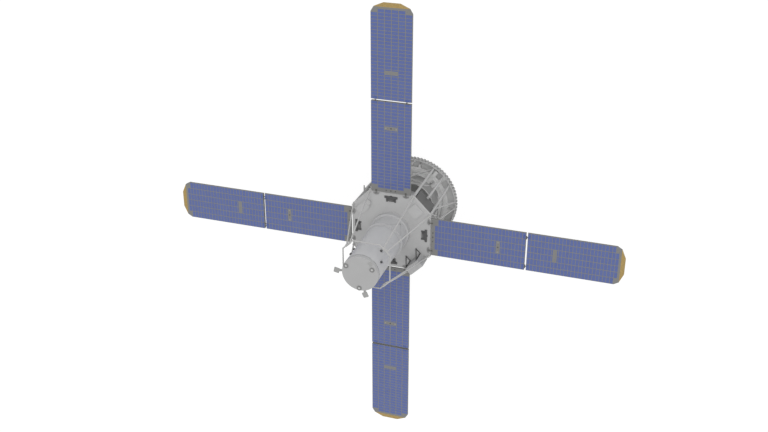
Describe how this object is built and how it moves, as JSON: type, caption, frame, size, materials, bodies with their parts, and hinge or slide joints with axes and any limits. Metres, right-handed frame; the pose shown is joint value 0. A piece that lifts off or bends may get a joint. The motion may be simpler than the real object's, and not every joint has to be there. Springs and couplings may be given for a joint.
{
  "type": "solar observing satellite",
  "caption": "Free-flying solar observing satellite: telescope tube through an octagonal deck on a truss over a ribbed separation ring, with four fold-out solar wings.",
  "frame": {"origin": "centre of the separation ring's bottom face, on the tube's axis", "axes": "+Z along the telescope tube towards its front lid; X and Y along the solar wings as deployed"},
  "size_m": [5.76, 5.76, 2.151],
  "materials": {
    "antenna_grey": "warm grey, matt",
    "black_fitting": "black anodised",
    "box_grey": "dark grey paint, matt",
    "deck_white": "pale grey thermal paint, matt",
    "drum_dark": "dark grey, matt",
    "gold_foil": "gold polyimide film over the tip",
    "hinge_metal": "machined, grey anodised",
    "lens_rim": "pale, satin, round a darker outer edge",
    "lid_white": "pale grey thermal paint, matt",
    "panel": "carbon and honeycomb wing panel, matt grey edge, blue cells on the face",
    "ring_alloy": "machined, clear conversion coat",
    "truss_paint": "pale grey thermal paint, satin",
    "tube_blanket": "pale blue-grey film, satin"
  },
  "bodies": {
    "bus": {"antennas": "antenna_grey", "box_posts": "truss_paint", "corner_unit": "tube_blanket", "corner_unit_brackets": "black_fitting", "deck": "deck_white", "deck_covers": "deck_white", "detector_drum": "drum_dark", "drum_rim": "ring_alloy", "equipment_box_nx_ny": "box_grey", "equipment_box_nx_py": "box_grey", "equipment_box_px_ny": "box_grey", "equipment_box_px_py": "box_grey", "frame_struts": "truss_paint", "front_frame": "truss_paint", "front_lid": "lid_white", "hold_downs": "black_fitting", "lens_rings": "lens_rim", "ribbed_base": "ring_alloy", "root_hinge_brackets": "black_fitting", "separation_ring": "ring_alloy", "telescope_tube": "tube_blanket", "truss_diagonals": "truss_paint", "truss_posts": "truss_paint", "tube_collars": "tube_blanket", "tube_knobs": "black_fitting"},
    "inner_wing_px": {"inner_hinges_px": "hinge_metal", "inner_panel_px": "panel"},
    "outer_wing_px": {"outer_hinges_px": "hinge_metal", "outer_panel_px": "panel", "wing_tip_px": "gold_foil"},
    "inner_wing_py": {"inner_hinges_py": "hinge_metal", "inner_panel_py": "panel"},
    "outer_wing_py": {"outer_hinges_py": "hinge_metal", "outer_panel_py": "panel", "wing_tip_py": "gold_foil"},
    "inner_wing_nx": {"inner_hinges_nx": "hinge_metal", "inner_panel_nx": "panel"},
    "outer_wing_nx": {"outer_hinges_nx": "hinge_metal", "outer_panel_nx": "panel", "wing_tip_nx": "gold_foil"},
    "inner_wing_ny": {"inner_hinges_ny": "hinge_metal", "inner_panel_ny": "panel"},
    "outer_wing_ny": {"outer_hinges_ny": "hinge_metal", "outer_panel_ny": "panel", "wing_tip_ny": "gold_foil"}
  },
  "joints": [
    {"name": "wing_root_px", "type": "hinge", "parent": "bus", "child": "inner_wing_px", "pos_m": [0.513, 0, 1.013], "axis": [0, -1, 0], "range_deg": [0, 90]},
    {"name": "wing_fold_px", "type": "hinge", "parent": "inner_wing_px", "child": "outer_wing_px", "pos_m": [1.708, 0, 1.013], "axis": [0, -1, 0], "range_deg": [0, 180]},
    {"name": "wing_root_py", "type": "hinge", "parent": "bus", "child": "inner_wing_py", "pos_m": [0, 0.513, 1.013], "axis": [1, 0, 0], "range_deg": [0, 90]},
    {"name": "wing_fold_py", "type": "hinge", "parent": "inner_wing_py", "child": "outer_wing_py", "pos_m": [0, 1.708, 1.013], "axis": [1, 0, 0], "range_deg": [0, 180]},
    {"name": "wing_root_nx", "type": "hinge", "parent": "bus", "child": "inner_wing_nx", "pos_m": [-0.513, 0, 1.013], "axis": [0, 1, 0], "range_deg": [0, 90]},
    {"name": "wing_fold_nx", "type": "hinge", "parent": "inner_wing_nx", "child": "outer_wing_nx", "pos_m": [-1.708, 0, 1.013], "axis": [0, 1, 0], "range_deg": [0, 180]},
    {"name": "wing_root_ny", "type": "hinge", "parent": "bus", "child": "inner_wing_ny", "pos_m": [0, -0.513, 1.013], "axis": [-1, 0, 0], "range_deg": [0, 90]},
    {"name": "wing_fold_ny", "type": "hinge", "parent": "inner_wing_ny", "child": "outer_wing_ny", "pos_m": [0, -1.708, 1.013], "axis": [-1, 0, 0], "range_deg": [0, 180]}
  ]
}
